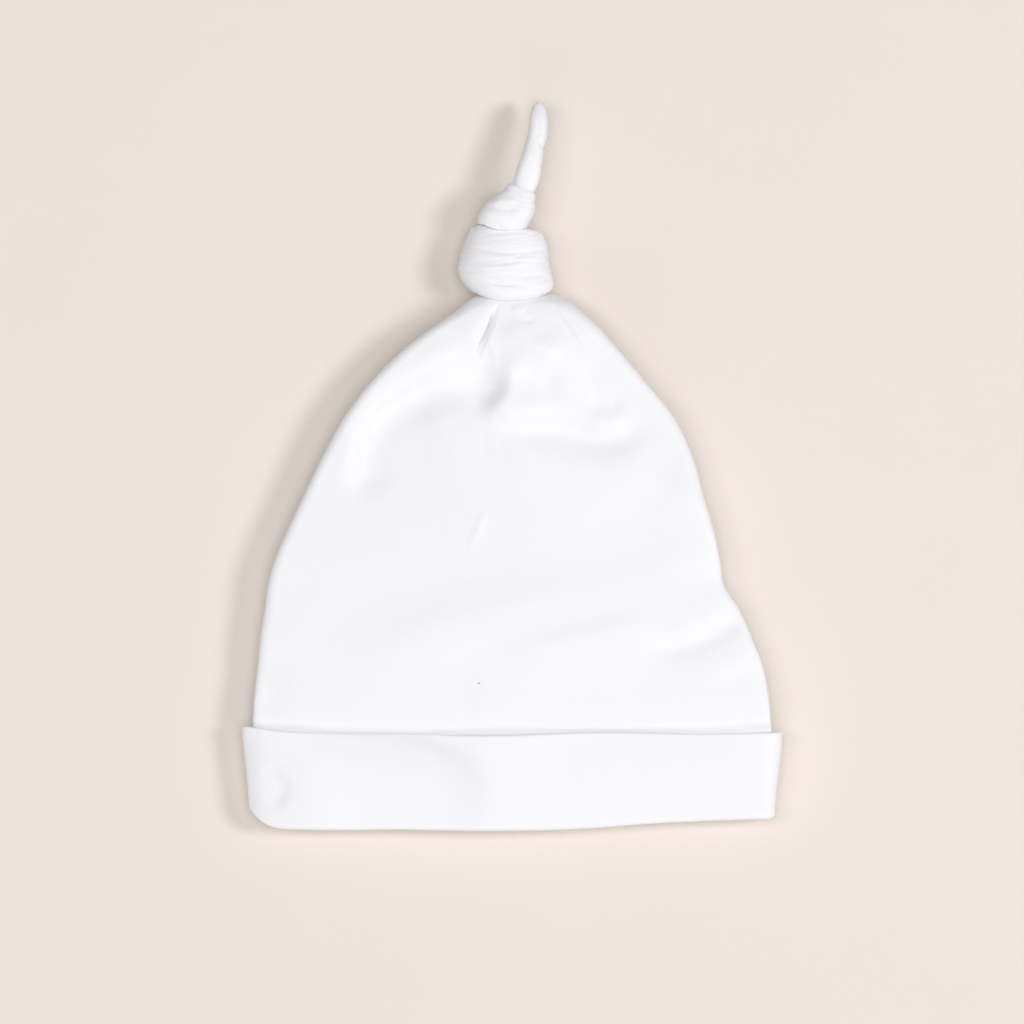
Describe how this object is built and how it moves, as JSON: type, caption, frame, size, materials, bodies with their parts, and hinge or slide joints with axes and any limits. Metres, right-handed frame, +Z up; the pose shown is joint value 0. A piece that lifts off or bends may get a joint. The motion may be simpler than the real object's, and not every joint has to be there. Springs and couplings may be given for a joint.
{
  "type": "newborn knotted cap",
  "caption": "Soft bell-shaped baby cap lying flat, its top gathered into a thick knot with a short free tail, and a turned-up cuff round the open mouth.",
  "frame": {"origin": "on the surface that the cap lies on, under the middle of the cap", "axes": "+Z up from the surface, +Y from the mouth to the tip of the tail, +X to the right seen from above"},
  "size_m": [0.1644, 0.2219, 0.0181],
  "materials": {
    "crown_jersey": "matt white cotton jersey",
    "cuff_jersey": "matt white cotton jersey, doubled",
    "knot_jersey": "matt white cotton jersey, stretched over the pleats",
    "tail_jersey": "matt white cotton jersey, rolled"
  },
  "bodies": {
    "root": {"crown": "crown_jersey", "cuff": "cuff_jersey", "knot_wrap": "knot_jersey", "knot_collar": "knot_jersey", "tail": "tail_jersey"}
  },
  "joints": []
}
